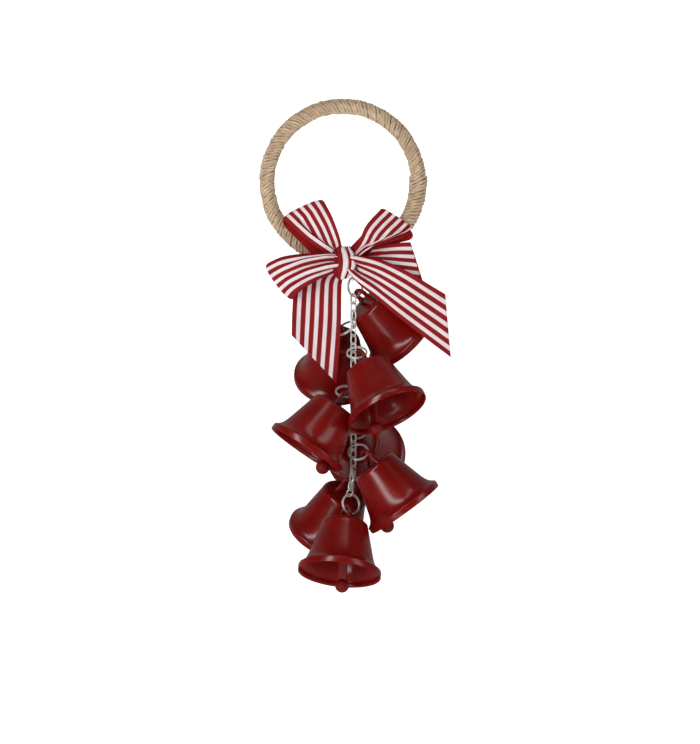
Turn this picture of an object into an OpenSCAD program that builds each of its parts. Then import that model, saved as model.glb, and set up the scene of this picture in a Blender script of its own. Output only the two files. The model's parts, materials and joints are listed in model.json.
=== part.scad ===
// Bell cluster on a chain, hung from a jute-wrapped hoop with a striped ribbon bow.
// Millimetres, +Z up, front towards -Y. The origin is the hang point: the inner top of the hoop.

/* [Hoop] */
// Outside diameter of the wrapped hoop
hoop_d = 140; // [130:1:150]
// Thickness of the hoop with its jute wrap
wrap_d = 13; // [12:0.5:13]
// Thickness of the hoop's wooden core
core_d = 8; // [6:0.5:9]
// Thickness of the twine that holds the top ring
twine_d = 1.6; // [1.2:0.1:1.8]

/* [Chain and rings] */
// Wire of the chain links
link_wire = 1.4; // [1.2:0.1:1.5]
// Inner width of a chain link
link_w = 4; // [3.8:0.1:4.2]
// Inner length of a chain link
link_l = 7; // [6.9:0.05:7.1]
// Outside diameter of a split ring
ring_d = 18; // [17.6:0.1:18.2]
// Radial thickness of a split ring
ring_band = 1.5; // [1.2:0.1:1.6]
// Height of a split ring's two coils
ring_h = 1.8; // [1.4:0.1:2]

/* [Bells] */
// Radius of the bell's mouth
mouth_r = 34.4; // [33:0.1:34.5]
// Radius at the shoulder, under the crown
shoulder_r = 19.7; // [18:0.1:20]
// Height of the shoulder above the mouth
shoulder_h = 42.3; // [41:0.1:43]
// Thickness of the bell's wall
wall = 1.4; // [1:0.1:1.8]
// Radius of the hole in the lug
lug_hole_r = 4; // [3.8:0.1:4.4]
// Radius of the clapper's ball
ball_r = 5.8; // [5:0.1:6]

/* [Ribbon] */
// Thickness of the ribbon
ribbon_t = 0.8; // [0.6:0.1:1]

/* [Hidden] */

round_fn = 48;
gap = 0.15;

// Hoop: the ring's centre line lies in the XZ plane.
hoop_r = (hoop_d - wrap_d) / 2;
hoop_z = wrap_d - hoop_d / 2;
wrap_gap = 0.1;

// Chain: it hangs straight down from the top ring, link planes turned 90 degrees each time.
chain_x = 9;
twine_slack = 1;
ring_slack = 0.35;
chain_turn = 45;
ring_r = (ring_d - ring_band) / 2;
top_ring_c = [10.5, 1.5, -144.9];
top_ring_az = 45;
top_ring_side = 2.12;
top_ring_reach = sqrt(ring_r * ring_r - top_ring_side * top_ring_side);
pitch = link_l - gap;
first_link_z = top_ring_c[2] - top_ring_reach + ring_band / 2 + ring_slack - link_l / 2;
upper_links = 10;
all_links = 22;
function link_z(k) = first_link_z - pitch * k;
function link_az(k) = chain_turn - 90 * (k % 2);

// Bell, measured up its axis from the mouth.
lip_h = 5.2;
taper = 0.27;
flare_len = 2.9;
flare = mouth_r - shoulder_r - taper * (shoulder_h - lip_h);
shoulder_round = 3.7;
crown_top = shoulder_h + shoulder_round + 0.3;
lug_t = 3;
lug_eye_r = lug_hole_r + 3;
lug_base_w = 20;
hole_h = 54.5;
eye_wire = 1.4;
eye_r = 2.6;
pivot_h = 37.9;
stem_w = 6.5;
stem_t = 3;
ball_drop = 45;
clapper_hole_r = 2;
clapper_eye_t = 2.4;
clapper_drop = 0.8;
function waist_r(h) = shoulder_r + taper * (shoulder_h - h) + flare * exp(-(h - lip_h) / flare_len);

// Each bell: centre of its lug hole, azimuth and angle of its lean, how far the ring sits above
// that centre, the chain link that its ring goes through, the ring's roll and sag side,
// the clapper's angle to the bell's axis and the turn of its stem.
BELLS = [
    [[16, 6.5, -152], 28, 48, 2, -1, 0, 1, 34, 0],
    [[-4, 8, -182], 96, 42, 1.8, 3, 60, 1, 32, 0],
    [[16.5, -13, -205], -45, 33, 1, 6, -30, 1, 25, 0],
    [[-0.5, -11.5, -238], -166, 35, 1, 11, 40, -1, 26, 0],
    [[10, 10, -272.5], 78, 72, 2.2, 15, 20, 1, 34, 0],
    [[20.5, -8.5, -287.5], 1, 36, 1, 18, -30, 1, 27, 0],
    [[5.5, 10, -312], 129, 35, 1, 21, 80, 1, 27, 0],
    [[3, -11.5, -334], -105, 24, 1, -2, -30, 1, 16, 90]
];

function unit(v) = v / norm(v);
function lean_dir(az, lean) = [sin(lean) * cos(az), sin(lean) * sin(az), -cos(lean)];
function across(v, n) = unit(v - (v * n) * n);
function down_first(v) = v[2] > 0 ? -v : v;

function bell_axis(b) = lean_dir(b[1], b[2]);
function hook_point(b) = b[0] - b[3] * bell_axis(b);

// The end of the chain leans towards the lowest bell.
chain_end = [chain_x, 0, link_z(all_links - 1) - link_l / 2];
end_dir = unit(hook_point(BELLS[7]) - chain_end);
end_links = 2;
small_ring_r = 3.5;
small_ring_wire = 1.2;
small_ring_slack = 0.7;
function end_link_c(k) = chain_end + (link_l / 2 - gap + pitch * k) * end_dir;
small_ring_c = end_link_c(end_links - 1)
    + (link_l / 2 - 2 * gap + small_ring_r - small_ring_wire / 2) * end_dir;
end_hold = small_ring_c
    + (small_ring_r - small_ring_wire / 2 - ring_band / 2 - small_ring_slack) * end_dir;

// A split ring goes through a hold point on the chain and a hook point in the lug.
function hold_point(b) =
    b[4] == -1 ? [chain_x, 0, top_ring_c[2] - top_ring_reach] :
    b[4] == -2 ? end_hold : [chain_x, 0, link_z(b[4])];
function ring_line(b) = unit(hook_point(b) - hold_point(b));
function ring_normal(b) =
    let (l = ring_line(b), n = across([0, 1, 0], l))
    cos(b[5]) * n + sin(b[5]) * cross(l, n);
function ring_sag(b) = b[6] * down_first(cross(ring_normal(b), ring_line(b)));
function ring_centre(b) =
    let (half = norm(hook_point(b) - hold_point(b)) / 2)
    (hook_point(b) + hold_point(b)) / 2 + sqrt(ring_r * ring_r - half * half) * ring_sag(b);
function ring_frame(b) = b[4] == -1
    ? [top_ring_c, [-sin(top_ring_az), cos(top_ring_az), 0]]
    : [ring_centre(b), ring_normal(b)];
function hook_tangent(b) = unit(cross(ring_frame(b)[1], hook_point(b) - ring_frame(b)[0]));

// The clapper's pin is level and square to the bell's lean.
function pin_dir(b) = [-sin(b[1]), cos(b[1]), 0];
function pivot_point(b) = b[0] + (hole_h - pivot_h) * bell_axis(b);
function clapper_dir(b) = lean_dir(b[1], b[2] - b[7]);

// Ribbon pieces: stations of an upper edge point and a lower edge point, from the knot outwards.
LOOP_UPPER_LEFT = [
    [[0, -13, -116], [-3, -12, -127]], [[-2.5, -17, -104], [-20, -16.5, -119]],
    [[-8.5, -18, -88], [-30, -17.5, -108]], [[-14.8, -14, -76], [-47.5, -14, -91.5]],
    [[-15.5, -11.5, -75], [-49, -11.5, -92.5]], [[-15.5, -9, -77], [-47, -9, -95]],
    [[-11, -9, -92], [-30, -10, -111]], [[-1, -10, -112], [-7, -10, -125]]
];
LOOP_UPPER_RIGHT = [
    [[6, -13, -115], [8, -13, -124]], [[15, -17, -107], [18, -17, -115]],
    [[24, -18, -94], [34, -19, -111]], [[31, -14, -82.5], [53, -16, -108.5]],
    [[31.5, -11.5, -81.5], [57, -11.5, -105]], [[32, -9, -83.5], [54, -9, -101]],
    [[22, -9, -96], [33, -9, -108]], [[6, -10, -113], [9, -10, -122]]
];
LOOP_LOWER_LEFT = [
    [[-2, -14, -121], [-2, -14, -132]], [[-12, -18, -118], [-11, -18, -136]],
    [[-30, -20, -118.5], [-25, -20, -142]], [[-48, -18.5, -120.5], [-36, -18.5, -149.5]],
    [[-62, -15, -125.5], [-41, -15, -156]], [[-64.5, -12.5, -127.5], [-41.5, -12.5, -157]],
    [[-62, -10, -127], [-41, -10, -155]], [[-40, -10, -122], [-28, -10, -144]],
    [[-4, -10.5, -120], [-4, -10.5, -131]]
];
LOOP_LOWER_RIGHT = [
    [[7, -11, -120], [7, -11, -130]], [[22, -13, -114], [20, -13, -134]],
    [[40, -14, -110], [42, -14, -141]], [[55, -12.5, -108.5], [66, -12.5, -146]],
    [[56, -10.5, -109], [67, -10.5, -146]], [[54, -8.5, -110], [64, -8.5, -146]],
    [[35, -8.5, -114], [38, -8.5, -141]], [[8, -9, -121], [8, -9, -131]]
];
TAIL_LEFT = [
    [[-5, -8.2, -124], [4, -8.2, -127]], [[-22, -7.8, -128], [2, -7.8, -134]],
    [[-37, -8, -134], [-0.5, -8, -142]], [[-40.5, -8.5, -147], [-1, -9, -153]],
    [[-42, -10.5, -165], [-1.5, -11, -180]], [[-42.5, -13, -186], [-5, -14, -226]]
];
TAIL_RIGHT = [
    [[6, -16, -120], [5, -16, -131]], [[14, -19, -120], [11, -19, -141]],
    [[32, -21, -123.5], [26, -21, -154]], [[52, -20, -132], [46, -20, -171]],
    [[73, -19, -144.5], [68, -19, -188]], [[85.5, -18, -152], [90, -18, -204.5]]
];
ribbon_steps = 3;

// A smooth curve through hand-set points, sampled at u from 0 to the last index.
function curve_at(p, u) =
    let (n = len(p) - 1, i = min(floor(u), n - 1), t = u - i,
         a = p[max(i - 1, 0)], b = p[i], c = p[i + 1], d = p[min(i + 2, n)])
    b + 0.5 * t * ((c - a) + t * ((2 * a - 5 * b + 4 * c - d) + t * (3 * (b - c) + d - a)));
function edge(stations, side) = [for (s = stations) s[side]];

// Frame with its Z along z, its Y as near y as it can be.
module place(origin, z, y) {
    w = unit(z);
    v = across(y, w);
    u = cross(v, w);
    multmatrix([
        [u[0], v[0], w[0], origin[0]],
        [u[1], v[1], w[1], origin[1]],
        [u[2], v[2], w[2], origin[2]]
    ]) children();
}

module tube_ring(radius, d) {
    rotate_extrude($fn = round_fn) translate([radius, 0]) circle(d = d, $fn = 24);
}

module hoop_core() {
    color("burlywood") translate([0, 0, hoop_z]) rotate([90, 0, 0]) tube_ring(hoop_r, core_d);
}

module jute_wrap() {
    color("tan") translate([0, 0, hoop_z]) rotate([90, 0, 0])
        rotate_extrude($fn = 96) translate([hoop_r, 0]) difference() {
            circle(d = wrap_d, $fn = 32);
            circle(d = core_d + wrap_gap, $fn = 32);
        }
}

// Ribbon turn round the hoop that carries the knot.
module tie_band() {
    inner_r = wrap_d / 2 + 0.6;
    color("firebrick") translate([-8, 0, hoop_z - hoop_r + 0.3]) rotate([0, 90, 0]) difference() {
        cylinder(r = inner_r + ribbon_t, h = 15, $fn = round_fn);
        translate([0, 0, -1]) cylinder(r = inner_r, h = 17, $fn = round_fn);
    }
}

// Endless loop of wire or twine: two half rings and two straight legs, long axis along Z.
module long_loop(r, straight, d) {
    for (end = [0, 1]) {
        mirror([0, 0, end]) translate([0, 0, straight / 2]) rotate([90, 0, 0])
            rotate_extrude(angle = 180, $fn = round_fn) translate([r, 0]) circle(d = d, $fn = 24);
        translate([(1 - 2 * end) * r, 0, -straight / 2]) cylinder(d = d, h = straight, $fn = 24);
    }
}

module twine_loop() {
    r = wrap_d / 2 + twine_d / 2 + 0.3;
    top_z = hoop_z - sqrt(hoop_r * hoop_r - chain_x * chain_x);
    hold_z = top_ring_c[2] + top_ring_reach - ring_band / 2 - twine_d / 2 - twine_slack;
    straight = top_z - hold_z - r;
    color("tan") translate([chain_x, 0, top_z - straight / 2]) rotate([0, 0, 90])
        long_loop(r, straight, twine_d);
}

module bow_knot() {
    color("firebrick") hull() for (x = [-3.5, 6], z = [-117, -133])
        translate([x, -14.5, z]) sphere(r = 5, $fn = 24);
}

// A ribbon piece as one closed strip that follows its two edges.
module ribbon(stations) {
    a = edge(stations, 0);
    b = edge(stations, 1);
    rings = (len(stations) - 1) * ribbon_steps;
    points = [for (i = [0 : rings])
        let (u = i / ribbon_steps, du = 0.02,
             p = curve_at(a, u), q = curve_at(b, u),
             along = curve_at(a, min(u + du, len(a) - 1)) + curve_at(b, min(u + du, len(a) - 1))
                 - curve_at(a, max(u - du, 0)) - curve_at(b, max(u - du, 0)),
             n = ribbon_t / 2 * unit(cross(along, q - p)))
        each [p + n, q + n, q - n, p - n]];
    sides = [for (i = [0 : rings - 1], k = [0 : 3])
        let (m = 4 * i, next = (k + 1) % 4)
        each [[m + k, m + 4 + next, m + next], [m + k, m + 4 + k, m + 4 + next]]];
    last = 4 * rings;
    color("crimson") polyhedron(points = points,
        faces = concat(sides, [[0, 1, 2], [0, 2, 3], [last + 2, last + 1, last], [last + 3, last + 2, last]]));
}

module link() {
    long_loop((link_w + link_wire) / 2, link_l - link_w, link_wire);
}

module chain(first, last) {
    color("silver") for (k = [first : last])
        translate([chain_x, 0, link_z(k)]) rotate([0, 0, link_az(k) + 90]) link();
}

module chain_end_links() {
    color("silver") for (k = [0 : end_links - 1])
        place(end_link_c(k), end_dir, lean_dir(link_az(all_links + k), 90)) link();
}

module small_ring() {
    color("silver") place(small_ring_c, across(lean_dir(chain_turn, 90), end_dir), end_dir)
        tube_ring(small_ring_r, small_ring_wire);
}

module split_ring(b) {
    color("silver") place(ring_frame(b)[0], ring_frame(b)[1], [0, 0, 1])
        rotate_extrude($fn = round_fn) translate([ring_r, 0])
            square([ring_band, ring_h], center = true);
}

// Half section of the bell between its outside and inside, as [radius, height] points.
function outside() = concat(
    [[mouth_r, 0]],
    [for (h = [lip_h : 1 : lip_h + 8]) [waist_r(h), h]],
    [for (h = [lip_h + 12 : 4 : shoulder_h - 1]) [waist_r(h), h]],
    [for (a = [0 : 20 : 80])
        [shoulder_r - shoulder_round * (1 - cos(a)), shoulder_h + shoulder_round * sin(a)]],
    [[0, crown_top]]
);

module bell_shell() {
    outer = outside();
    inner = [for (p = outer) p[1] < shoulder_h
        ? [p[0] - wall, p[1]] : [max(p[0] - wall, 0), p[1] - wall]];
    rotate_extrude($fn = 96) polygon(concat(outer, [for (i = [len(inner) - 1 : -1 : 0]) inner[i]]));
}

module lug() {
    rotate([90, 0, 0]) translate([0, 0, -lug_t / 2]) difference() {
        union() {
            translate([0, hole_h]) cylinder(r = lug_eye_r, h = lug_t, $fn = round_fn);
            linear_extrude(lug_t) polygon([
                [-lug_base_w / 2, crown_top - 0.8], [lug_base_w / 2, crown_top - 0.8],
                [lug_eye_r - 0.4, hole_h + 1], [0.4 - lug_eye_r, hole_h + 1]
            ]);
        }
        translate([0, hole_h, -1]) cylinder(r = lug_hole_r, h = lug_t + 2, $fn = round_fn);
    }
}

module bell(b) {
    color("darkred") place(b[0] + hole_h * bell_axis(b), -bell_axis(b), hook_tangent(b)) {
        bell_shell();
        lug();
    }
}

// Wire eye under the crown: a small ring on a shank that is riveted through the crown.
module eye(b) {
    color("darkred") place(b[0] + hole_h * bell_axis(b), -bell_axis(b), cross(pin_dir(b), bell_axis(b))) {
        translate([0, 0, pivot_h + eye_r]) rotate([90, 0, 0]) tube_ring(eye_r, eye_wire);
        translate([0, 0, pivot_h + 2 * eye_r]) cylinder(d = eye_wire, h = crown_top - pivot_h - 2 * eye_r);
    }
}

// Clapper, down its own axis from the pin: eye, flat stem and ball.
module clapper(b) {
    color("darkred") place(pivot_point(b), -clapper_dir(b), pin_dir(b)) {
        translate([0, 0, -clapper_drop]) rotate([90, 0, 0]) difference() {
            cylinder(d = stem_w, h = clapper_eye_t, center = true, $fn = 32);
            cylinder(r = clapper_hole_r, h = clapper_eye_t + 2, center = true, $fn = 32);
        }
        rotate([0, 0, b[8]]) translate([-stem_w / 2, -stem_t / 2, -ball_drop])
            cube([stem_w, stem_t, ball_drop - clapper_drop - clapper_hole_r - 0.4]);
        translate([0, 0, -ball_drop]) sphere(r = ball_r, $fn = 32);
    }
}

hoop_core();
jute_wrap();
tie_band();
twine_loop();
bow_knot();
ribbon(LOOP_UPPER_LEFT);  // loop_upper_left
ribbon(LOOP_UPPER_RIGHT);  // loop_upper_right
ribbon(LOOP_LOWER_LEFT);  // loop_lower_left
ribbon(LOOP_LOWER_RIGHT);  // loop_lower_right
ribbon(TAIL_LEFT);  // tail_left
ribbon(TAIL_RIGHT);  // tail_right
chain(0, upper_links - 1);  // chain_upper
chain(upper_links, all_links - 1);  // chain_lower
chain_end_links();
small_ring();
for (i = [0 : 7]) {
    split_ring(BELLS[i]);
    bell(BELLS[i]);
    eye(BELLS[i]);
    clapper(BELLS[i]);
}
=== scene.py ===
"""Christmas bell ornament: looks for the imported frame. Metres, +Z up, front towards -Y."""

import json
import math
import random

import bpy
import numpy as np
from mathutils import Matrix, Vector


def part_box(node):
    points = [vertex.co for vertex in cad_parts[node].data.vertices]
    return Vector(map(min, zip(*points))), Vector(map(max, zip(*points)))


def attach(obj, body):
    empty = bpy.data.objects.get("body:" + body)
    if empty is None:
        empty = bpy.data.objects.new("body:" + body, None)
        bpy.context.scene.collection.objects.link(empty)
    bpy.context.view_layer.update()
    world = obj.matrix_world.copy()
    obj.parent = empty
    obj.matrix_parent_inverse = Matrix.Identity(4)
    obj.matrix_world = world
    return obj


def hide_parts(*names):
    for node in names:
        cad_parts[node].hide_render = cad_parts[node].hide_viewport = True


MM = 0.001
SEED = 7

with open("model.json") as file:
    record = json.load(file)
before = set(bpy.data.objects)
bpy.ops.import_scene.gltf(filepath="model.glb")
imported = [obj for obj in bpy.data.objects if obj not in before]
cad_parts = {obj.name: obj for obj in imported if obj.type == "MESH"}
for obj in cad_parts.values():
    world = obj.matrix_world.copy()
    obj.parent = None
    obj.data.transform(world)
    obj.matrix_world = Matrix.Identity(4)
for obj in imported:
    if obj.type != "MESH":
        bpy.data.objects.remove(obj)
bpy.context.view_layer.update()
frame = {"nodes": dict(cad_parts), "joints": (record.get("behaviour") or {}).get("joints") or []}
JOINTS = {j["name"]: j for j in frame["joints"]}
rng = random.Random(SEED)


# ---------------------------------------------------------------- camera, light and stage

FIELD_HEIGHT = 0.625
LENS = 100
SENSOR = 36
CAMERA_X, CAMERA_Z = 0.0062, -0.2167
LIT_POINT = (0, 0, -0.22)

# Name, place and size in metres, and power in watts.
LIGHTS = [
    ("key", (-0.62, -1.0, 0.15), (0.32, 1.5), 10.5),
    ("fill", (1.05, -0.75, 0.1), (0.45, 1.2), 3.6),
    ("top", (0.15, -0.7, 1.0), (0.8, 0.3), 1.6),
    ("low", (-0.2, -0.95, -0.75), (0.7, 0.12), 0.9),
]

FLOOR_Z = -0.62
WALL_Y, WALL_BEND, WALL_TOP = 2.6, 0.8, 4.0
SWEEP_HALF = 6.0
SURROUND_R, SURROUND_TOP, SURROUND_SIDES = 5.8, 6.0, 64


def make_camera():
    data = bpy.data.cameras.new("camera")
    data.lens = LENS
    data.sensor_width = SENSOR
    camera = bpy.data.objects.new("camera", data)
    bpy.context.scene.collection.objects.link(camera)
    camera.location = (CAMERA_X, -FIELD_HEIGHT * LENS / SENSOR, CAMERA_Z)
    camera.rotation_euler = (math.radians(90), 0, 0)
    bpy.context.scene.camera = camera


def area_light(name, place, size, power):
    data = bpy.data.lights.new(name, "AREA")
    data.shape = "RECTANGLE"
    data.size, data.size_y = size
    data.energy = power
    light = bpy.data.objects.new(name, data)
    light.location = place
    light.rotation_euler = (Vector(LIT_POINT) - Vector(place)).to_track_quat("-Z", "Y").to_euler()
    bpy.context.scene.collection.objects.link(light)


def make_light():
    """A dim room, brighter behind, with soft boxes that draw the highlights."""
    world = bpy.data.worlds.new("studio")
    world.use_nodes = True
    n = Nodes(world.node_tree)
    background = world.node_tree.nodes["Background"]
    split = n.add("ShaderNodeSeparateXYZ")
    n.join(n.add("ShaderNodeTexCoord").outputs["Generated"], split.inputs[0])
    depth = n.spread(split.outputs[1], -0.1, 0.9, 0.01, 0.26)
    height = n.spread(split.outputs[2], 0.4, 1.0, 0.0, 0.05)
    n.join(n.math("ADD", depth, height), background.inputs["Strength"])
    background.inputs["Color"].default_value = (1, 1, 1, 1)
    bpy.context.scene.world = world
    bpy.context.scene.view_settings.view_transform = "Standard"
    for light in LIGHTS:
        area_light(*light)


def stage_part(name, points, faces, colour, glow):
    """A part of the room, never mirrored in the object."""
    mesh = bpy.data.meshes.new(name)
    mesh.from_pydata(points, [], faces)
    mesh.polygons.foreach_set("use_smooth", [True] * len(faces))
    obj = bpy.data.objects.new(name, mesh)
    bpy.context.scene.collection.objects.link(obj)
    material, shader, _ = new_material(name)
    shader.inputs["Base Color"].default_value = colour
    shader.inputs["Roughness"].default_value = 0.9
    shader.inputs["Emission Color"].default_value = (1, 1, 1, 1)
    shader.inputs["Emission Strength"].default_value = glow
    mesh.materials.append(material)
    obj.visible_glossy = False
    return obj


def make_stage():
    """A pale sweep, the floor curving up into a wall well behind, and a plain white surround
    that closes the view from the sides and the back and gives no light."""
    outline, bends = [(-SWEEP_HALF, FLOOR_Z), (WALL_Y - WALL_BEND, FLOOR_Z)], 8
    for step in range(1, bends + 1):
        a = math.radians(90 * step / bends)
        outline.append((WALL_Y - WALL_BEND + WALL_BEND * math.sin(a), FLOOR_Z + WALL_BEND * (1 - math.cos(a))))
    outline.append((WALL_Y, WALL_TOP))
    points = [(x, y, z) for y, z in outline for x in (-SWEEP_HALF, SWEEP_HALF)]
    faces = [(2 * i, 2 * i + 1, 2 * i + 3, 2 * i + 2) for i in range(len(outline) - 1)]
    stage_part("sweep", points, faces, (0.9, 0.9, 0.905, 1), 0.8)

    around = [2 * math.pi * k / SURROUND_SIDES for k in range(SURROUND_SIDES)]
    points = [(SURROUND_R * math.cos(a), SURROUND_R * math.sin(a), z)
              for z in (FLOOR_Z, SURROUND_TOP) for a in around]
    faces = []
    for k in range(SURROUND_SIDES):
        after = (k + 1) % SURROUND_SIDES
        faces.append((k, after, SURROUND_SIDES + after, SURROUND_SIDES + k))
    surround = stage_part("surround", points, faces, (0, 0, 0, 1), 1.0)
    surround.visible_diffuse = surround.visible_shadow = False


# ---------------------------------------------------------------- material helpers


class Nodes:
    """Short calls that add and join shader nodes in one material."""

    def __init__(self, tree):
        self.tree = tree

    def add(self, kind, **settings):
        node = self.tree.nodes.new(kind)
        for name, value in settings.items():
            if name.startswith("in_"):
                node.inputs[name[3:].replace("_", " ")].default_value = value
            else:
                setattr(node, name, value)
        return node

    def join(self, source, target):
        self.tree.links.new(source, target)

    def math(self, operation, a, b=0.0, c=0.0):
        node = self.add("ShaderNodeMath", operation=operation)
        for socket, value in zip(node.inputs, (a, b, c)):
            if isinstance(value, (int, float)):
                socket.default_value = value
            else:
                self.join(value, socket)
        return node.outputs[0]

    def mix(self, share, a, b):
        """Colour a at share 0, colour b at share 1."""
        node = self.add("ShaderNodeMix", data_type="RGBA")
        for socket, value in ((node.inputs[0], share), (node.inputs[6], a), (node.inputs[7], b)):
            if isinstance(value, (int, float, tuple)):
                socket.default_value = value
            else:
                self.join(value, socket)
        return node.outputs[2]

    def scaled(self, source, scale):
        node = self.add("ShaderNodeVectorMath", operation="MULTIPLY")
        node.inputs[1].default_value = scale
        self.join(source, node.inputs[0])
        return node.outputs[0]

    def noise(self, vector, scale, detail=3.0):
        node = self.add("ShaderNodeTexNoise", in_Scale=scale, in_Detail=detail)
        self.join(vector, node.inputs["Vector"])
        return node.outputs[0]

    def spread(self, value, low, high, to_low=0.0, to_high=1.0):
        node = self.add("ShaderNodeMapRange")
        for name, number in zip(("From Min", "From Max", "To Min", "To Max"), (low, high, to_low, to_high)):
            node.inputs[name].default_value = number
        self.join(value, node.inputs["Value"])
        return node.outputs[0]

    def bump(self, height, shader, strength, distance):
        node = self.add("ShaderNodeBump", in_Strength=strength, in_Distance=distance)
        self.join(height, node.inputs["Height"])
        self.join(node.outputs[0], shader.inputs["Normal"])


def new_material(name):
    material = bpy.data.materials.new(name)
    material.use_nodes = True
    return material, material.node_tree.nodes["Principled BSDF"], Nodes(material.node_tree)


# ---------------------------------------------------------------- materials

STRIPES = 11
RIBBON_W = 40 * MM
RIB_PITCH = 0.55 * MM
WARP_WAVES = 90


def ribbon_threads(n):
    """The ribbon's UV, its parts across and along, and noise for its threads and its dye."""
    uv = n.add("ShaderNodeUVMap", uv_map="cloth").outputs[0]
    split = n.add("ShaderNodeSeparateXYZ")
    n.join(uv, split.inputs[0])
    thread = n.noise(n.scaled(uv, (260, 2400, 0)), 1.0)
    blotch = n.spread(n.noise(n.scaled(uv, (3, 60, 0)), 1.0), 0.3, 0.7)
    return uv, split.outputs[0], split.outputs[1], thread, blotch


def weave(n, shader, colour, shadow, thread, height):
    """Matt woven cloth: darker between the threads, raised by height and by the threads."""
    shade = n.mix(n.spread(thread, 0.3, 0.7, 0.22, 0.0), colour, shadow)
    n.join(shade, shader.inputs["Base Color"])
    shader.inputs["Roughness"].default_value = 0.62
    shader.inputs["Specular IOR Level"].default_value = 0.15
    n.bump(n.math("ADD", height, n.math("MULTIPLY", thread, 0.8)), shader, 0.35, 0.12 * MM)


def ribbon_material():
    """Eleven stripes across U, ribs across the ribbon every half millimetre along V."""
    material, shader, n = new_material("ribbon")
    uv, across, along, thread, blotch = ribbon_threads(n)
    # a thread's width of unevenness where two colours meet
    uneven = n.noise(n.scaled(uv, (20, 2600, 0)), 1.0)
    jitter = n.math("MULTIPLY", n.math("SUBTRACT", uneven, 0.5), 0.012)
    place = n.math("MULTIPLY", n.math("ADD", across, jitter), STRIPES)
    wave = n.math("SUBTRACT", n.math("PINGPONG", n.math("SUBTRACT", place, 0.5), 1.0), 0.5)
    red = n.mix(blotch, (0.205, 0.0015, 0.003, 1), (0.26, 0.003, 0.005, 1))
    cream = n.mix(blotch, (0.76, 0.64, 0.66, 1), (0.84, 0.74, 0.75, 1))
    colour = n.mix(n.spread(wave, 0.0, 0.10), red, cream)
    ribs = n.math("SINE", n.math("MULTIPLY", along, 2 * math.pi / RIB_PITCH))
    warp = n.math("SINE", n.math("MULTIPLY", across, 2 * math.pi * WARP_WAVES))
    height = n.math("ADD", ribs, n.math("MULTIPLY", warp, 0.35))
    weave(n, shader, colour, (0.12, 0.02, 0.02, 1), thread, height)
    return material


def reverse_material():
    """The ribbon's reverse: the red ground, with the same ribs and no stripes; its red is painted lighter than
    the front's, as painted light in the shaded insides of the loops.
    """
    material, shader, n = new_material("ribbon_reverse")
    _, _, along, thread, blotch = ribbon_threads(n)
    # painted light: this red is lighter than the front's red, to lift the shade inside the loops
    red = n.mix(blotch, (0.29, 0.003, 0.005, 1), (0.35, 0.005, 0.008, 1))
    ribs = n.math("SINE", n.math("MULTIPLY", along, 2 * math.pi / RIB_PITCH))
    weave(n, shader, red, (0.10, 0.003, 0.004, 1), thread, ribs)
    return material


def jute_material():
    """Dry tan fibres that run along the strand (V), darker in the grooves between plies."""
    material, shader, n = new_material("jute")
    uv = n.add("ShaderNodeUVMap", uv_map="cloth").outputs[0]
    where = n.add("ShaderNodeTexCoord").outputs["Object"]
    fibre = n.noise(n.scaled(uv, (9, 420, 0)), 1.0, 4.0)
    streak = n.noise(n.scaled(uv, (4, 90, 0)), 1.0, 2.0)
    patch = n.noise(where, 55.0, 2.0)
    pale = n.mix(n.spread(patch, 0.35, 0.65), (0.50, 0.365, 0.235, 1), (0.60, 0.455, 0.31, 1))
    tone = n.mix(n.spread(streak, 0.35, 0.72), pale, (0.36, 0.245, 0.145, 1))
    tone = n.mix(n.spread(fibre, 0.52, 0.75, 0.0, 0.7), tone, (0.22, 0.14, 0.08, 1))
    n.join(tone, shader.inputs["Base Color"])
    shader.inputs["Roughness"].default_value = 0.85
    shader.inputs["Sheen Weight"].default_value = 0.25
    n.bump(fibre, shader, 0.7, 0.25 * MM)
    return material


def paint_material(name, roughness, shine):
    """Dark red paint over cast metal: soft waviness, fine dust specks, sharp edges a lighter red in patches
    (partly wear, partly a painted edge highlight), uneven gloss.
    """
    material, shader, n = new_material(name)
    where = n.add("ShaderNodeTexCoord").outputs["Object"]
    cloud = n.noise(where, 38.0, 3.0)
    speck = n.noise(where, 900.0, 2.0)
    tone = n.mix(n.spread(cloud, 0.35, 0.65), (0.140, 0.0022, 0.0014, 1), (0.175, 0.0035, 0.0022, 1))
    # Sharp edges painted a lighter red, in patches: partly wear, partly a painted highlight along the edges.
    edge = n.add("ShaderNodeNewGeometry").outputs["Pointiness"]
    wear_and_edge_highlight = n.math("MULTIPLY", n.spread(edge, 0.53, 0.60), n.spread(cloud, 0.4, 0.6))
    tone = n.mix(n.math("MULTIPLY", wear_and_edge_highlight, 0.5), tone, (0.28, 0.02, 0.018, 1))
    tone = n.mix(n.spread(speck, 0.8, 0.86, 0.0, 0.2), tone, (0.3, 0.03, 0.02, 1))
    n.join(tone, shader.inputs["Base Color"])
    n.join(n.spread(cloud, 0.3, 0.7, roughness, roughness + 0.06), shader.inputs["Roughness"])
    shader.inputs["Specular IOR Level"].default_value = 0.22 + shine
    shader.inputs["Coat Weight"].default_value = shine
    shader.inputs["Coat Roughness"].default_value = 0.12
    ripple = n.math("ADD", n.noise(where, 120.0, 1.0), n.math("MULTIPLY", speck, 0.06))
    n.bump(ripple, shader, 0.09, 0.5 * MM)
    return material


def nickel_material():
    """Pale nickel plate, dulled by wear, with fine drawn scratches and a little tarnish."""
    material, shader, n = new_material("nickel")
    where = n.add("ShaderNodeTexCoord").outputs["Object"]
    tarnish = n.noise(where, 160.0, 3.0)
    scratch = n.noise(n.scaled(where, (1, 1, 14)), 700.0, 2.0)
    tone = n.mix(n.spread(tarnish, 0.4, 0.75), (0.95, 0.93, 0.88, 1), (0.70, 0.66, 0.59, 1))
    n.join(tone, shader.inputs["Base Color"])
    shader.inputs["Metallic"].default_value = 0.7
    n.join(n.spread(scratch, 0.3, 0.7, 0.3, 0.46), shader.inputs["Roughness"])
    n.bump(scratch, shader, 0.1, 0.05 * MM)
    return material


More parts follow.
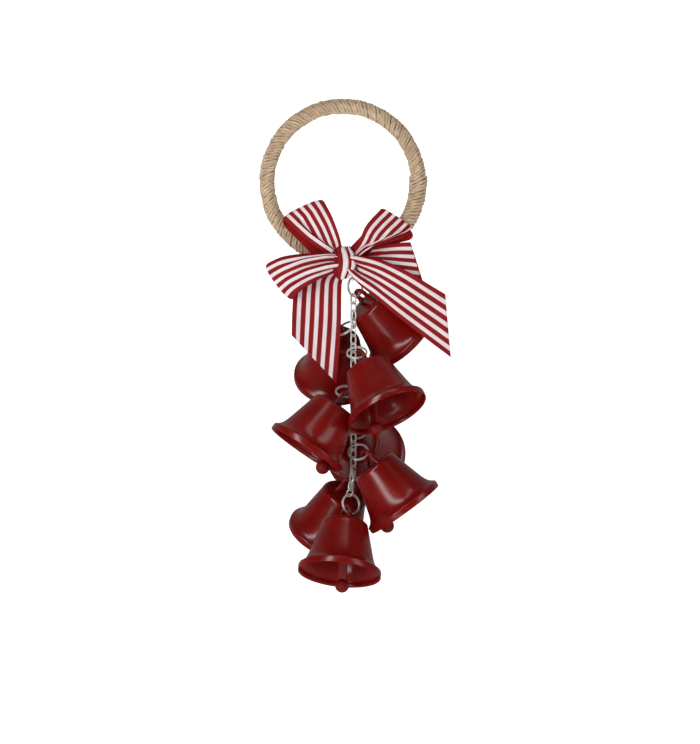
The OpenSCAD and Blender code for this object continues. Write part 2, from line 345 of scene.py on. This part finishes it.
def wood_material():
    """Pale rattan core: long grain with darker pores."""
    material, shader, n = new_material("wood")
    where = n.add("ShaderNodeTexCoord").outputs["Object"]
    grain = n.noise(n.scaled(where, (1, 8, 1)), 160.0, 4.0)
    tone = n.mix(n.spread(grain, 0.35, 0.7), (0.62, 0.43, 0.24, 1), (0.38, 0.23, 0.11, 1))
    n.join(tone, shader.inputs["Base Color"])
    shader.inputs["Roughness"].default_value = 0.6
    n.bump(grain, shader, 0.3, 0.2 * MM)
    return material


# ---------------------------------------------------------------- mesh helpers


def grid_mesh(name, rows, uvs, close_u=False, close_v=False):
    """A smooth mesh through rows of points; uvs has a (u, v) for each point, and a closed side
    carries on past the last column or row by one step."""
    count, width = len(rows), len(rows[0])
    flat = [tuple(p) for row in rows for p in row]
    faces, loops = [], []
    for i in range(count if close_v else count - 1):
        for k in range(width if close_u else width - 1):
            i2, k2 = (i + 1) % count, (k + 1) % width
            faces.append((i * width + k, i * width + k2, i2 * width + k2, i2 * width + k))
            u1 = uvs[i][k][0] if k2 else 2 * uvs[i][k][0] - uvs[i][k - 1][0]
            u2 = uvs[i][k2][0] if k2 else u1
            v2 = uvs[i2][k][1] if i2 else 2 * uvs[i][k][1] - uvs[i - 1][k][1]
            loops += [(uvs[i][k][0], uvs[i][k][1]), (u2, uvs[i][k][1]), (u2, v2), (uvs[i][k][0], v2)]
    mesh = bpy.data.meshes.new(name)
    mesh.from_pydata(flat, [], faces)
    layer = mesh.uv_layers.new(name="cloth")
    layer.data.foreach_set("uv", np.array(loops, float).ravel())
    mesh.polygons.foreach_set("use_smooth", [True] * len(faces))
    return mesh


def join_meshes(name, meshes):
    """One mesh from several, with their UVs."""
    verts, faces, uvs, base = [], [], [], 0
    for mesh in meshes:
        verts += [tuple(v.co) for v in mesh.vertices]
        faces += [tuple(base + k for k in p.vertices) for p in mesh.polygons]
        uvs += [tuple(d.uv) for d in mesh.uv_layers["cloth"].data]
        base += len(mesh.vertices)
    joined = bpy.data.meshes.new(name)
    joined.from_pydata(verts, [], faces)
    layer = joined.uv_layers.new(name="cloth")
    layer.data.foreach_set("uv", np.array(uvs, float).ravel())
    joined.polygons.foreach_set("use_smooth", [True] * len(faces))
    return joined


def piece(name, mesh, material, body, replaces=()):
    """Puts a mesh in the scene as a piece on a body, in place of the CAD nodes it stands for."""
    mesh.materials.append(material)
    obj = bpy.data.objects.new(name, mesh)
    bpy.context.scene.collection.objects.link(obj)
    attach(obj, body)
    if replaces:
        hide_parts(*replaces)
    return obj


def frames_along(path, closed=False):
    """Unit tangent, side and up at each point, the side carried along with no sudden turn."""
    count = len(path)
    tangents = []
    for i in range(count):
        a = path[i - 1] if (closed or i) else path[0]
        b = path[(i + 1) % count] if (closed or i < count - 1) else path[-1]
        tangents.append((b - a).normalized())
    side = tangents[0].orthogonal().normalized()
    result = []
    for t in tangents:
        side = (side - side.dot(t) * t).normalized()
        result.append((t, side, t.cross(side)))
    return result


def tube_mesh(name, path, radius, sides=8, closed=False):
    """A round tube along path. radius may be a number or a function of the point's index."""
    size = radius if callable(radius) else (lambda i: radius)
    rows, uvs, run = [], [], 0.0
    for i, (t, s, u) in enumerate(frames_along(path, closed)):
        run += (path[i] - path[i - 1]).length if i else 0.0
        turn = [2 * math.pi * k / sides for k in range(sides)]
        rows.append([path[i] + size(i) * (math.cos(a) * s + math.sin(a) * u) for a in turn])
        uvs.append([(k / sides, run) for k in range(sides)])
    return grid_mesh(name, rows, uvs, close_u=True, close_v=closed)


def catmull(points, u):
    """The smooth curve through points at u, from 0 to the last index: part.scad's curve_at."""
    last = len(points) - 1
    i = min(int(u), last - 1)
    t = u - i
    a, b, c, d = points[max(i - 1, 0)], points[i], points[i + 1], points[min(i + 2, last)]
    return b + 0.5 * t * ((c - a) + t * ((2 * a - 5 * b + 4 * c - d) + t * (3 * (b - c) + d - a)))


# ---------------------------------------------------------------- hoop

HOOP_LOW, HOOP_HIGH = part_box("jute_wrap")
HOOP_C = (HOOP_LOW + HOOP_HIGH) / 2
WRAP_D = HOOP_HIGH.y - HOOP_LOW.y
HOOP_R = (HOOP_HIGH.x - HOOP_LOW.x - WRAP_D) / 2
STARTS = 7
TURNS = 20
STEPS_PER_TURN = 40
PLIES = 2
STRAND_R = 1.32 * MM
SEAM_ANGLE, SEAM_FADE, SEAM_STEP = 4, 70, 1.3 * MM
FUZZ_HAIRS = 260
TWINE_PLIES = 3
TWINE_TWISTS = 14
TWINE_ARC_STEPS, TWINE_SIDE_STEPS = 40, 24


def seam_lift(angle):
    """How much prouder the wrap lies where its two ends overlap, below the seam on the right."""
    away = (SEAM_ANGLE - math.degrees(angle) + 180) % 360 - 180
    return SEAM_STEP * max(0.0, 1 - away / SEAM_FADE) if away >= 0 else 0.0


def jute_strand(start):
    """The plies of one strand, wound round the hoop and twisted on themselves."""
    steps = STEPS_PER_TURN * TURNS
    plies = []
    wander = [rng.uniform(0, 2 * math.pi) for _ in range(6)]
    proud = rng.uniform(-0.12, 0.16) * MM
    ply_r, ply_off = 0.74 * STRAND_R, 0.34 * STRAND_R
    for ply in range(PLIES):
        path = []
        for i in range(steps):
            turn = 2 * math.pi * i / steps
            around = TURNS * turn + 2 * math.pi * start / STARTS
            drift = 1.6 * math.sin(5 * turn + wander[0]) + 1.3 * math.sin(13 * turn + wander[1])
            angle = 0.5 * math.pi - turn + math.radians(0.16) * drift
            small_r = WRAP_D / 2 - ply_r - 0.7 * ply_off + 0.2 * MM + proud + seam_lift(angle)
            small_r += 0.2 * MM * math.sin(9 * turn + wander[3]) + 0.12 * MM * math.sin(31 * turn + wander[4])
            out = Vector((math.cos(angle), 0, math.sin(angle)))
            normal = math.cos(around) * out + math.sin(around) * Vector((0, -1, 0))
            sideways = Vector((math.sin(angle), 0, -math.cos(angle)))
            twist = 2.4 * around + 2 * math.pi * ply / PLIES + wander[5]
            offset = 1.1 * math.cos(twist) * sideways + 0.7 * math.sin(twist) * normal
            path.append(HOOP_C + HOOP_R * out + small_r * normal + ply_off * offset)
        plies.append(tube_mesh("ply", path, ply_r, 10, closed=True))
    return plies


def fuzz(count):
    """Short loose fibres that stand off the jute."""
    hairs = []
    for _ in range(count):
        angle, around = rng.uniform(0, 2 * math.pi), rng.uniform(0, 2 * math.pi)
        out = Vector((math.cos(angle), 0, math.sin(angle)))
        normal = math.cos(around) * out + math.sin(around) * Vector((0, -1, 0))
        root = HOOP_C + HOOP_R * out + (WRAP_D / 2 - 0.4 * MM + seam_lift(angle)) * normal
        lean = Vector([rng.gauss(0, 1) for _ in range(3)])
        lean = (lean - 0.8 * lean.dot(normal) * normal).normalized()
        length = rng.uniform(1.2, 3.6) * MM
        path = [root + length * (t * lean + (0.45 * t - 0.25 * t * t) * normal) for t in (0, 0.35, 0.7, 1)]
        hairs.append(tube_mesh("hair", path, lambda i: (0.05 - 0.012 * i) * MM, 3))
    return hairs


def make_hoop(jute):
    strands = [ply for start in range(STARTS) for ply in jute_strand(start)]
    mesh = join_meshes("jute_cord", strands + fuzz(FUZZ_HAIRS))
    piece("jute_cord", mesh, jute, "hoop", ["jute_wrap"])


def make_twine(jute):
    """The endless loop that holds the top ring: three plies round the CAD loop's own line."""
    low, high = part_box("twine_loop")
    thick = high.x - low.x
    radius = (high.y - low.y - thick) / 2
    top, bottom = high.z - thick / 2 - radius, low.z + thick / 2 + radius
    x = (low.x + high.x) / 2
    centre = []
    for end_z, other_z, way in ((top, bottom, 1), (bottom, top, -1)):
        for i in range(TWINE_ARC_STEPS):
            a = math.pi * i / TWINE_ARC_STEPS
            centre.append(Vector((x, way * radius * math.cos(a), end_z + way * radius * math.sin(a))))
        for i in range(TWINE_SIDE_STEPS):
            centre.append(Vector((x, -way * radius, end_z + (other_z - end_z) * i / TWINE_SIDE_STEPS)))
    plies, frames = [], frames_along(centre, closed=True)
    for ply in range(TWINE_PLIES):
        path = []
        for i, (_, side, up) in enumerate(frames):
            a = 2 * math.pi * (TWINE_TWISTS * i / len(centre) + ply / TWINE_PLIES)
            path.append(centre[i] + 0.24 * thick * (math.cos(a) * side + math.sin(a) * up))
        plies.append(tube_mesh("ply", path, 0.26 * thick, 7, closed=True))
    piece("twine_cord", join_meshes("twine_cord", plies), jute, "hoop", ["twine_loop"])


# ---------------------------------------------------------------- ribbon

CLOTH_T = 0.45 * MM
ROWS_PER_STATION, COLUMNS = 14, 110
BOW_MIDDLE = Vector((2, 0, -123)) * MM
# Gathering: the steepest soft wave in radians, the share of the flat width that spans a row
# before it gathers, and shares of the width for a tuck's soft ends, its lap and its zigzags.
WAVE = 2.15
FLAT_SHARE = 0.84
TURN_SHARE = 0.05
LAP_SHARE = 0.18
ZIGZAG_SHARE = 0.13

# Stations of each ribbon piece in millimetres, an upper edge point and a lower edge point,
# from the knot outwards, near part.scad's own.
LOOP_UPPER_LEFT = [
    [[0, -13, -116], [-3, -12, -125]], [[-2.5, -17, -104], [-14.5, -16, -117.5]],
    [[-8.5, -18, -88], [-30.5, -17.5, -106.5]], [[-14.8, -14, -76], [-47, -14, -91.5]],
    [[-15.5, -11.5, -75], [-49, -11.5, -92.5]], [[-15.5, -9.5, -77], [-47, -9.5, -96.5]],
    [[-11, -9, -92], [-34, -9.5, -109.5]], [[-5, -9, -103], [-24, -10, -119]],
    [[-1, -10, -112], [-6, -10, -125]],
]
LOOP_UPPER_RIGHT = [
    [[9, -13, -115.5], [10, -13, -124]], [[14, -17, -108], [19, -17, -115]],
    [[19.6, -18, -95], [35, -19, -110]], [[30.5, -14, -82.5], [51, -16, -104.5]],
    [[31.5, -11.5, -81.5], [57, -11.5, -101]], [[32, -9, -83.5], [56.5, -9, -106]],
    [[22, -9, -96], [38, -9, -111]], [[6, -10, -113], [9, -10, -122]],
]
LOOP_LOWER_LEFT = [
    [[-2, -14, -121], [-2, -14, -132]], [[-12, -18, -118], [-11, -18, -136]],
    [[-30, -20, -118.5], [-25, -20, -142]], [[-48, -18.5, -120.5], [-36, -18.5, -149.5]],
    [[-60, -15, -125], [-40, -15, -154.5]], [[-62, -12.5, -126.8], [-40.5, -12.5, -155.5]],
    [[-60, -10, -126.5], [-40, -10, -153.5]], [[-40, -10, -122], [-28, -10, -144]],
    [[-4, -10.5, -120], [-4, -10.5, -131]],
]
LOOP_LOWER_RIGHT = [
    [[7, -11, -120], [7, -11, -130]], [[22, -13, -114], [20, -13, -134]],
    [[40, -14, -110], [42, -14, -141]], [[55, -12.5, -108.5], [66, -12.5, -146]],
    [[56, -10.5, -109], [67, -10.5, -146]], [[54, -8.5, -110], [64, -8.5, -146]],
    [[35, -8.5, -114], [38, -8.5, -141]], [[8, -9, -121], [8, -9, -131]],
]
TAIL_LEFT = [
    [[-5, -8.2, -124], [4, -8.2, -127]], [[-22, -7.8, -128], [2, -7.8, -134]],
    [[-37, -8, -134], [-0.5, -8, -142]], [[-40.5, -8.5, -147], [-1, -9, -153]],
    [[-42, -10.5, -165], [-1.5, -11, -180]], [[-42.5, -13, -186], [-5, -14, -226]],
]
TAIL_RIGHT = [
    [[6, -16, -120], [5, -16, -131]], [[14, -19, -120], [11, -19, -141]],
    [[32, -21, -123.5], [26, -21, -154]], [[52, -20, -132], [46, -20, -171]],
    [[73, -19, -144.5], [68, -19, -188]], [[85.5, -18, -152], [90, -18, -204.5]],
]


def window(s, low, high):
    """1 between low and high, 0 outside, with soft ends."""
    rise = min(1.0, max(0.0, (s - low) / TURN_SHARE + 0.5))
    return rise * min(1.0, max(0.0, (high - s) / TURN_SHARE + 0.5))


def row_slopes(amount, gather, columns):
    """Slope of the cloth at each column when gathered by amount, 0 to 1. Soft waves narrow it
    all over. A tuck hides the cloth before start in a zigzag and laps the rest over it."""
    folds, phase, wave, start = gather
    hidden = start * amount
    lap = LAP_SHARE * hidden
    slopes = []
    for k in range(columns):
        s = (k + 0.5) / columns
        slope = wave * amount * math.sin(2 * math.pi * folds * s + phase)
        if start:
            full = min(1.0, hidden / 0.12)
            zigzag = window(s, start - hidden, start - lap) * full
            back = window(s, start - lap, start) * full
            slope += zigzag * (2.0 * math.sin(2 * math.pi * (start - lap - s) / ZIGZAG_SHARE) - slope)
            slope += back * (3.0 - slope)
        slopes.append(slope)
    return slopes


def pleated_row(a, b, normal, gather, columns):
    """Points from a to b across the ribbon, gathered so that their length stays the flat width."""
    chord = b - a
    share = min(1.0, chord.length / RIBBON_W / FLAT_SHARE)
    low, high = 0.0, 1.0
    for _ in range(12):
        amount = (low + high) / 2
        spans = sum(math.cos(x) for x in row_slopes(amount, gather, columns)) / columns
        low, high = (amount, high) if spans > share else (low, amount)
    along, off, points = 0.0, 0.0, [(0.0, 0.0)]
    for slope in row_slopes(low, gather, columns):
        along += math.cos(slope)
        off += math.sin(slope)
        points.append((along, off))
    size = min(chord.length / along, RIBBON_W / columns)
    return [a + chord * (x / along) + normal * size * (y - off * x / along) for x, y in points]


def ribbon_piece(node, stations, materials, gather, arch, crown):
    """The ribbon in place of one CAD node. gather is for row_slopes. arch bows the outer fold
    outwards and crown puffs the faces apart, both in millimetres."""
    name = "ribbon_" + node
    a = [Vector(s[0]) * MM for s in stations]
    b = [Vector(s[1]) * MM for s in stations]
    rows, uvs, run, last = [], [], 0.0, None
    total = (len(stations) - 1) * ROWS_PER_STATION
    for i in range(total + 1):
        u, du = i / ROWS_PER_STATION, 0.03
        p, q = catmull(a, u), catmull(b, u)
        ahead, behind = min(u + du, len(a) - 1), max(u - du, 0)
        along = catmull(a, ahead) + catmull(b, ahead) - catmull(a, behind) - catmull(b, behind)
        normal = along.cross(q - p).normalized()
        middle = (p + q) / 2
        run += (middle - last).length if last else 0.0
        last = middle
        row = pleated_row(p, q, normal, gather, COLUMNS)
        reach = math.sin(math.pi * i / total) ** 2
        outward = (middle - BOW_MIDDLE) * Vector((1, 0, 1))
        outward = outward.normalized() * arch * MM * reach ** 2
        for k in range(COLUMNS + 1):
            swell = (1 - abs(2 * k / COLUMNS - 1) ** 3) ** 0.4
            row[k] += swell * (outward + normal * crown * MM * reach)
        rows.append(row)
        uvs.append([(k / COLUMNS, run) for k in range(COLUMNS + 1)])
    mesh = grid_mesh(name, rows, uvs)
    if (b[1] - a[1]).cross(a[2] - a[0]).y > 0:  # the striped face would look back
        mesh.flip_normals()
    obj = piece(name, mesh, materials[0], "hoop", [node])
    thicken(obj, materials[1])
    return obj


def thicken(obj, reverse=None):
    """Gives a sheet the cloth's thickness, and its back the reverse material."""
    solid = obj.modifiers.new("cloth", "SOLIDIFY")
    solid.thickness = CLOTH_T
    solid.offset = 0
    if reverse:
        obj.data.materials.append(reverse)
        solid.material_offset = 1
    apply_modifiers(obj)


def apply_modifiers(obj):
    graph = bpy.context.evaluated_depsgraph_get()
    mesh = bpy.data.meshes.new_from_object(obj.evaluated_get(graph))
    obj.modifiers.clear()
    obj.data = mesh


# The knot's gathered face from left to right: width of each rounded fold in millimetres, how
# far it stands out, and the share of the ribbon's width that shows on it.
KNOT_FOLDS = [
    (3.4, 0.5, 0.19, 0.27), (4.4, 1.5, 0.37, 0.45), (5.0, 1.9, 0.46, 0.54),
    (2.0, 1.3, 0.56, 0.62), (3.6, 1.2, 0.64, 0.72), (1.6, 0.3, 0.74, 0.79),
]


def make_knot(material):
    """The turn of ribbon over the bow's middle, gathered to about half its width."""
    low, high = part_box("bow_knot")
    centre = (low + high) / 2 - Vector((0, 0, 1.0 * MM))
    half_y, half_z = (high.y - low.y) / 2, (high.z - low.z) / 2 - 1.2 * MM
    rounds, per = 120, 10
    total = sum(f[0] for f in KNOT_FOLDS)
    rows, uvs, run, last = [], [], 0.0, None
    for i in range(rounds):
        t = 2 * math.pi * i / rounds
        out = Vector((0, -math.cos(t) * half_y, math.sin(t) * half_z))
        normal = Vector((0, -math.cos(t) * half_z, math.sin(t) * half_y)).normalized()
        narrow = 1 - (0.15 if math.sin(t) > 0 else 0.32) * abs(math.sin(t)) ** 2.5
        sway = (1.3 - 2.4 * max(math.sin(t), 0) ** 2 - 2.8 * max(-math.sin(t), 0) ** 2) * MM
        row, row_uv, x = [], [], -total / 2
        for width, height, u0, u1 in KNOT_FOLDS:
            for k in range(per):
                share = k / (per - 1)
                bulge = height * math.sin(math.pi * share) ** 0.6 + 0.1
                edge = 2.6 * (2 * (x + width * share) / total) ** 4
                row.append(centre + out * 0.9 + normal * (bulge + 1.4 - edge) * MM
                           + Vector(((x + width * share) * narrow * MM + sway, 0, 0)))
                row_uv.append(u0 + (u1 - u0) * share)
            x += width
        middle = row[len(row) // 2]
        run += (middle - last).length if last else 0.0
        last = middle
        rows.append(row)
        uvs.append([(u, run) for u in row_uv])
    obj = piece("ribbon_knot", grid_mesh("ribbon_knot", rows, uvs, close_v=True), material,
                "hoop", ["bow_knot"])
    thicken(obj)


def make_tie(material):
    """The ribbon that ties the bow round the hoop, behind the knot."""
    low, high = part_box("tie_band")
    centre = (low + high) / 2
    radius = (high.z - low.z) / 2 - CLOTH_T / 2
    rows, uvs, rounds, columns = [], [], 96, 88
    for i in range(rounds):
        t = 2 * math.pi * i / rounds
        normal = Vector((0, math.cos(t), math.sin(t)))
        left = Vector((low.x, centre.y, centre.z)) + radius * normal
        right = Vector((high.x, centre.y, centre.z)) + radius * normal
        rows.append(pleated_row(left, right, normal, (8, 0.4, WAVE, 0), columns))
        uvs.append([(k / columns, radius * t) for k in range(columns + 1)])
    mesh = grid_mesh("ribbon_tie", rows, uvs, close_v=True)
    obj = piece("ribbon_tie", mesh, material, "hoop", ["tie_band"])
    thicken(obj)


# Name, stations, flat length, how it is held, and ribbon_piece's gather, arch and crown.
BOW_PIECES = [
    ("loop_upper_left", LOOP_UPPER_LEFT, 0.100, "folded", (1.5, -1.57, 0.3, 0.79), 3.4, 1.4),
    ("loop_upper_right", LOOP_UPPER_RIGHT, 0.090, "folded", (1.5, 1.57, 0.5, 0.9), 5.4, 2.0),
    ("loop_lower_left", LOOP_LOWER_LEFT, 0.110, "folded", (2.0, 1.2, 1.9, 0.27), 4.0, 1.8),
    ("loop_lower_right", LOOP_LOWER_RIGHT, 0.110, "folded", (1.5, 1.57, WAVE, 0), 1.2, 1.0),
    ("tail_left", TAIL_LEFT, 0.085, "hung", (2.0, 0.0, WAVE, 0), 0.0, 0.0),
    ("tail_right", TAIL_RIGHT, 0.105, "hung", (1.5, -1.57, WAVE, 0), 0.0, 0.0),
]


def make_bow(ribbon, reverse):
    for node, stations, flat_length, held, gather, arch, crown in BOW_PIECES:
        ribbon_piece(node, stations, (ribbon, reverse), gather, arch, crown)
    make_knot(ribbon)
    make_tie(ribbon)


# ---------------------------------------------------------------- bells

BELLS = 8
# Bell section, in millimetres up from the mouth: part.scad's own.
MOUTH_R, SHOULDER_R, SHOULDER_H, LIP_H = 34.4, 19.7, 42.3, 5.2
TAPER, FLARE_LEN, WALL, SHOULDER_ROUND = 0.27, 2.9, 1.4, 3.7
CROWN_TOP = SHOULDER_H + SHOULDER_ROUND + 0.3
HOLE_H, PIVOT_H, LUG_T, LUG_HOLE_R, LUG_EYE_R, LUG_BASE_W = 54.5, 37.9, 3.0, 4.0, 7.0, 20.0
FLARE = MOUTH_R - SHOULDER_R - TAPER * (SHOULDER_H - LIP_H)


def waist_r(h):
    return SHOULDER_R + TAPER * (SHOULDER_H - h) + FLARE * math.exp(-(h - LIP_H) / FLARE_LEN)


def bell_profile():
    """(radius, height) round the wall's whole section: outside up, over the crown, inside down."""
    rim = 0.45
    points = [(MOUTH_R - rim + rim * math.sin(a), rim - rim * math.cos(a))
              for a in np.linspace(0, math.pi / 2, 5)]
    points += [(MOUTH_R + 0.12 * math.sin(math.pi * (h - rim) / (LIP_H - rim)), h)
               for h in np.linspace(rim + 0.6, LIP_H - 0.35, 6)]
    points += [(waist_r(h), h) for h in np.linspace(LIP_H + 0.05, LIP_H + 12, 26)]
    points += [(waist_r(h), h) for h in np.linspace(LIP_H + 14, SHOULDER_H - 1, 10)]
    points += [(SHOULDER_R - SHOULDER_ROUND * (1 - math.cos(a)), SHOULDER_H + SHOULDER_ROUND * math.sin(a))
               for a in np.linspace(0.1, math.radians(86), 10)]
    points += [(r, CROWN_TOP - 0.25 * (r / 15.5) ** 2) for r in (13.5, 10, 6, 2)]
    inside = [(max(r - WALL, 0), h) for r, h in points if 1.2 < h < SHOULDER_H - 1]
    inside += [(SHOULDER_R - WALL - 3.4 * (1 - math.cos(a)), SHOULDER_H - 2.6 + 3.4 * math.sin(a))
               for a in np.linspace(0.15, math.radians(84), 7)]
    inside += [(r, CROWN_TOP - WALL) for r in (11, 6, 2)]
    return points + [(0.01, CROWN_TOP)], inside + [(0.01, CROWN_TOP - WALL)]


def lathe(profile, segments=128):
    rows = [[Vector((r * math.cos(a), r * math.sin(a), h)) * MM
             for a in (2 * math.pi * k / segments for k in range(segments))] for r, h in profile]
    uvs = [[(k / segments, h * MM) for k in range(segments)] for _, h in profile]
    return grid_mesh("lathe", rows, uvs, close_u=True)


def lug_outline(inset):
    """The lug's edge, from its left foot over the eye to its right foot."""
    top = [(-LUG_BASE_W / 2 + inset, CROWN_TOP - 0.8), (-LUG_EYE_R + inset - 0.6, HOLE_H - 3.2)]
    for k in range(25):
        a = math.radians(195 - 210 * k / 24)
        top.append(((LUG_EYE_R - inset) * math.cos(a), HOLE_H + (LUG_EYE_R - inset) * math.sin(a)))
    return top + [(LUG_EYE_R - inset + 0.6, HOLE_H - 3.2), (LUG_BASE_W / 2 - inset, CROWN_TOP - 0.8)]


def lug_mesh():
    """The cast lug: rounded outer edge and rounded hole, as rings from back to front."""
    half, soft = LUG_T / 2, 0.6
    front = [(half - soft, 0.0), (half - 0.18, 0.22), (half, soft)]
    layers = [(-y, inset) for y, inset in reversed(front)] + front
    count = len(lug_outline(0))
    rows = []
    for y, inset in layers:
        rows.append([Vector((x, y, z)) * MM for x, z in lug_outline(inset)])
    hole = []
    for y, inset in reversed(layers):
        ring = []
        for k in range(count):
            a = math.radians(250 - 320 * k / (count - 1))
            r = LUG_HOLE_R + inset * 0.8
            ring.append(Vector((r * math.cos(a), y, HOLE_H + r * math.sin(a))) * MM)
        hole.append(ring)
    rows += hole
    rows.append(rows[0])
    uvs = [[(k / count, 0.0) for k in range(count)] for _ in rows]
    return grid_mesh("lug", rows, uvs)


def bell_mesh():
    outer, inner = bell_profile()
    loop = list(reversed(outer)) + inner
    shell = lathe(loop)
    return join_meshes("bell", [shell, lug_mesh()])


def bell_place(index):
    """Where bell `index` stands: its axis up to the crown, and its lug's plane."""
    hook = Vector(JOINTS[f"bell_{index}_swing"]["pos_m"])
    pivot = Vector(JOINTS[f"clapper_{index}_swing"]["pos_m"])
    down = (pivot - hook).normalized()
    up = -down
    side = Vector(JOINTS[f"bell_{index}_swing"]["axis"])
    side = (side - side.dot(up) * up).normalized()
    mouth = pivot + PIVOT_H * MM * down
    x = side.cross(up)
    return Matrix(((x.x, side.x, up.x, mouth.x), (x.y, side.y, up.y, mouth.y),
                   (x.z, side.z, up.z, mouth.z), (0, 0, 0, 1)))


def make_bells(paint):
    base = bell_mesh()
    for index in range(1, BELLS + 1):
        mesh = base.copy()
        mesh.transform(bell_place(index))
        piece(f"bell_{index}_shell", mesh, paint, f"bell_body_{index}", [f"bell_{index}"])


# ---------------------------------------------------------------- split rings


def ring_frame(node):
    """Centre, two directions in the plane and the normal of a CAD ring."""
    points = np.array([v.co for v in frame["nodes"][node].data.vertices])
    points = np.unique(points.round(6), axis=0)
    middle = points.mean(0)
    _, _, axes = np.linalg.svd(points - middle)
    flat = (points - middle) @ axes.T
    shift = (flat.max(0) + flat.min(0)) / 2
    centre = middle + shift @ axes
    outer = np.hypot(flat[:, 0] - shift[0], flat[:, 1] - shift[1])
    height = float(np.ptp(flat[:, 2]))
    return Vector(centre), [Vector(a) for a in axes], float(outer.max()), float(outer.min()), height


def split_ring_mesh(node, start):
    """Two turns of flat wire side by side, cut ends showing where they step across."""
    centre, (x, y, z), outer, inner, height = ring_frame(node)
    radius, band, coil = (outer + inner) / 2, outer - inner, height / 2
    steps, turns = 170, 2.0
    section = []
    for k in range(12):
        a = 2 * math.pi * (k + 0.5) / 12
        section.append((math.copysign(abs(math.cos(a)) ** 0.5, math.cos(a)) * band * 0.46,
                        math.copysign(abs(math.sin(a)) ** 0.5, math.sin(a)) * coil * 0.46))
    rows, uvs = [], []
    for i in range(steps + 1):
        turn = turns * i / steps
        a = start + 2 * math.pi * turn
        lift = (min(max((turn - 0.94) / 0.12, 0.0), 1.0) - 0.5) * coil
        out = math.cos(a) * x + math.sin(a) * y
        rows.append([centre + (radius + r) * out + (lift + h) * z for r, h in section])
        uvs.append([(k / 12, radius * (a - start)) for k in range(12)])
    return grid_mesh(node, rows, uvs, close_u=True)


def make_rings(nickel):
    for index in range(1, BELLS + 1):
        body = "top_ring" if index == 1 else f"split_ring_{index}"
        mesh = split_ring_mesh(f"ring_{index}", rng.uniform(0, 2 * math.pi))
        piece(f"split_ring_{index}_coils", mesh, nickel, body, [f"ring_{index}"])


# ---------------------------------------------------------------- CAD nodes that stay


def finish_cad_nodes(wood, nickel, paint):
    """Procedural materials on the CAD solids that no piece replaces."""
    for name, obj in frame["nodes"].items():
        if obj.hide_render:
            continue
        if name == "hoop_core":
            material = wood
        elif name.startswith(("chain_", "small_ring")):
            material = nickel
        else:
            material = paint
        obj.data.materials.clear()
        obj.data.materials.append(material)


# ---------------------------------------------------------------- the whole

make_camera()
make_light()
make_stage()
jute, ribbon = jute_material(), ribbon_material()
gloss_paint, dull_paint = paint_material("bell_paint", 0.22, 0.18), paint_material("clapper_paint", 0.48, 0.0)
nickel, wood = nickel_material(), wood_material()
make_hoop(jute)
make_twine(jute)
make_bow(ribbon, reverse_material())
make_bells(gloss_paint)
make_rings(nickel)
finish_cad_nodes(wood, nickel, dull_paint)
